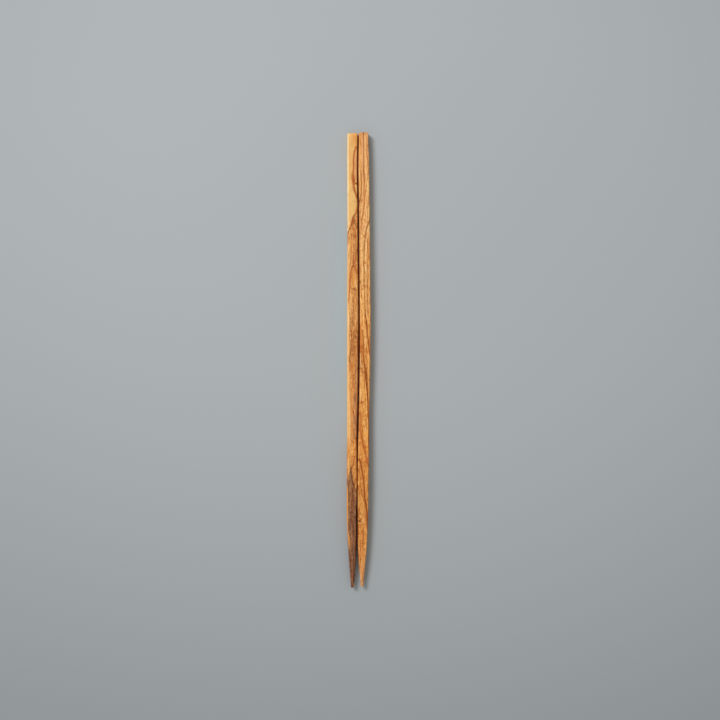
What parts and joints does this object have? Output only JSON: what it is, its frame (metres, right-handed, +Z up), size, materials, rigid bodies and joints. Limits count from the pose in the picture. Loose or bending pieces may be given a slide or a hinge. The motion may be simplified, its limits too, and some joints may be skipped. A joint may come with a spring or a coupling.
{
  "type": "pair of wooden chopsticks",
  "caption": "Slim wooden chopsticks lying side by side, squared with eased corners along the shaft, with straight-cut heads and nearly round tapered tips.",
  "frame": {"origin": "on the resting surface, under the middle of the pair's bounding box", "axes": "+Z up; +Y along the sticks towards their heads, with the eating tips at -Y; +X to the right, across the pair, seen from above with the heads up"},
  "size_m": [0.0126, 0.24, 0.0054],
  "materials": {
    "wood_left": "bare, finely sanded figured wood, pale at the head and dark heartwood at the tip",
    "wood_right": "bare, finely sanded figured wood, honey coloured with brown veins"
  },
  "bodies": {
    "root": {"chopstick_left": "wood_left", "chopstick_right": "wood_right"}
  },
  "joints": []
}
